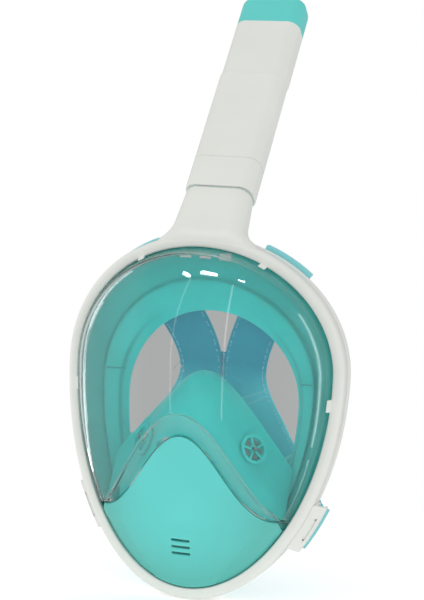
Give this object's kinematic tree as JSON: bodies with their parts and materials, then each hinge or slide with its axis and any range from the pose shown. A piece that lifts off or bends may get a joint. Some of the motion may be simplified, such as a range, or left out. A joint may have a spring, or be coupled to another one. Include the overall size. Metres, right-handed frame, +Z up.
{
  "type": "full face snorkel mask",
  "caption": "Full face snorkel mask with a domed clear lens in an oval frame, silicone skirt and nose cup, leaning breathing tube with a float valve, and a webbing head strap.",
  "frame": {"origin": "middle of the face opening, at the plane where the skirt meets the face", "axes": "+Z up, +Y towards the wearer's head, +X to the right seen from the front"},
  "size_m": [0.192, 0.1828, 0.4071],
  "materials": {
    "white_plastic": "satin",
    "clear_lens": "clear and glossy",
    "mint_plastic": "satin",
    "teal_plastic": "satin",
    "teal_silicone": "soft and slightly glossy",
    "clear_silicone": "soft and cloudy",
    "cyan_plastic": "satin",
    "blue_webbing": "woven"
  },
  "bodies": {
    "mask": {"frame": "white_plastic", "air_spigot": "white_plastic", "rear_ring": "white_plastic", "lens": "clear_lens", "chin_cover": "mint_plastic", "face_skirt": "teal_silicone", "nose_cup": "teal_silicone", "inhale_seat_left": "teal_plastic", "inhale_seat_right": "teal_plastic", "purge_seat": "white_plastic", "tube_gasket": "clear_silicone", "lower_clip_left": "white_plastic", "lower_clip_right": "white_plastic"},
    "tube": {"tube_base": "white_plastic", "snorkel_tube": "white_plastic", "float_housing": "white_plastic", "float_cage": "teal_plastic", "float_seat": "teal_plastic", "top_cap": "mint_plastic"},
    "latch": {"tube_latch": "white_plastic"},
    "float_left": {"float_left": "mint_plastic"},
    "float_right": {"float_right": "mint_plastic"},
    "inhale_flap_left": {"inhale_flap_left": "clear_silicone"},
    "inhale_flap_right": {"inhale_flap_right": "clear_silicone"},
    "purge_flap": {"purge_flap": "clear_silicone"},
    "exhale_flap_left": {"exhale_flap_left": "clear_silicone"},
    "exhale_flap_right": {"exhale_flap_right": "clear_silicone"},
    "harness": {"upper_hook_left": "cyan_plastic", "upper_hook_right": "cyan_plastic", "lower_hook_left": "cyan_plastic", "lower_hook_right": "cyan_plastic", "strap_band_left": "blue_webbing", "strap_band_right": "blue_webbing", "strap_patch": "blue_webbing"},
    "slider_left": {"strap_slider_left": "cyan_plastic"},
    "slider_right": {"strap_slider_right": "cyan_plastic"}
  },
  "joints": [
    {"name": "tube_pull", "type": "slide", "parent": "mask", "child": "tube", "axis": [0, 0.6157, 0.788], "range_m": [0, 0.045]},
    {"name": "latch_press", "type": "slide", "parent": "mask", "child": "latch", "axis": [0, -0.788, 0.6157], "range_m": [0, 0.0024], "stiffness_N_per_m": 600},
    {"name": "float_left_rise", "type": "slide", "parent": "tube", "child": "float_left", "axis": [0, 0.6157, 0.788], "range_m": [0, 0.012]},
    {"name": "float_right_rise", "type": "slide", "parent": "tube", "child": "float_right", "axis": [0, 0.6157, 0.788], "range_m": [0, 0.012]},
    {"name": "inhale_flap_left_open", "type": "slide", "parent": "mask", "child": "inhale_flap_left", "axis": [0.7413, 0.5525, -0.3811], "range_m": [0, 0.0015], "stiffness_N_per_m": 40},
    {"name": "inhale_flap_right_open", "type": "slide", "parent": "mask", "child": "inhale_flap_right", "axis": [-0.7413, 0.5525, -0.3811], "range_m": [0, 0.0015], "stiffness_N_per_m": 40},
    {"name": "purge_flap_open", "type": "slide", "parent": "mask", "child": "purge_flap", "axis": [0, -0.9523, -0.3052], "range_m": [0, 0.0015], "stiffness_N_per_m": 60},
    {"name": "exhale_flap_left_open", "type": "hinge", "parent": "mask", "child": "exhale_flap_left", "pos_m": [-0.0097, 0.01289, 0.17938], "axis": [0, 0.788, -0.6157], "range_deg": [0, 55], "stiffness_Nm_per_rad": 0.004},
    {"name": "exhale_flap_right_open", "type": "hinge", "parent": "mask", "child": "exhale_flap_right", "pos_m": [0.0097, 0.01289, 0.17938], "axis": [0, -0.788, 0.6157], "range_deg": [0, 55], "stiffness_Nm_per_rad": 0.004},
    {"name": "harness_pull", "type": "slide", "parent": "mask", "child": "harness", "axis": [0, 1, 0], "range_m": [0, 0.04]},
    {"name": "slider_left_adjust", "type": "slide", "parent": "harness", "child": "slider_left", "axis": [-0.5524, -0.3222, -0.7688], "range_m": [-0.013, 0.008]},
    {"name": "slider_right_adjust", "type": "slide", "parent": "harness", "child": "slider_right", "axis": [0.5524, -0.3222, -0.7688], "range_m": [-0.013, 0.008]}
  ]
}
